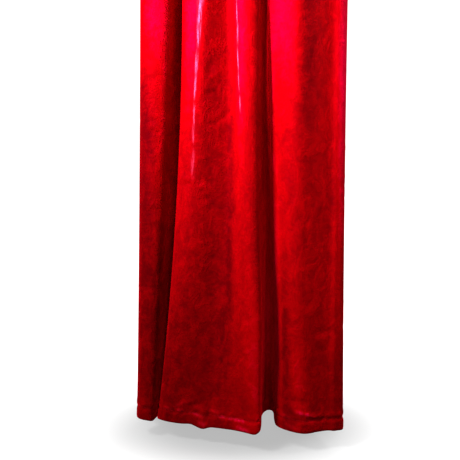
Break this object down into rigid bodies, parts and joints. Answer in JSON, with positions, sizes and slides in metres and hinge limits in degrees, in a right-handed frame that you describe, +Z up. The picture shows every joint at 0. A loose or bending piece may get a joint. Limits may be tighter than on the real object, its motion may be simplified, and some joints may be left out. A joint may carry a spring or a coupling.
{
  "type": "maxi dress",
  "caption": "Sleeveless velvet maxi dress, filled out with no wearer: plain bodice with straps, gathered waist and a long skirt in deep folds.",
  "frame": {"origin": "midway between the shoulder straps, level with their tops, where the wearer's shoulders hold the dress", "axes": "+Z up along the length of the dress, -Y the way the front faces, +X to the right as the front is looked at"},
  "size_m": [0.4324, 0.3, 1.4577],
  "materials": {
    "velvet_skirt": "crushed pile velvet with a bright sheen",
    "velvet_bodice": "crushed pile velvet with a bright sheen"
  },
  "bodies": {
    "root": {"bodice_front": "velvet_bodice", "bodice_back": "velvet_bodice", "skirt_front": "velvet_skirt", "skirt_back": "velvet_skirt"}
  },
  "joints": []
}
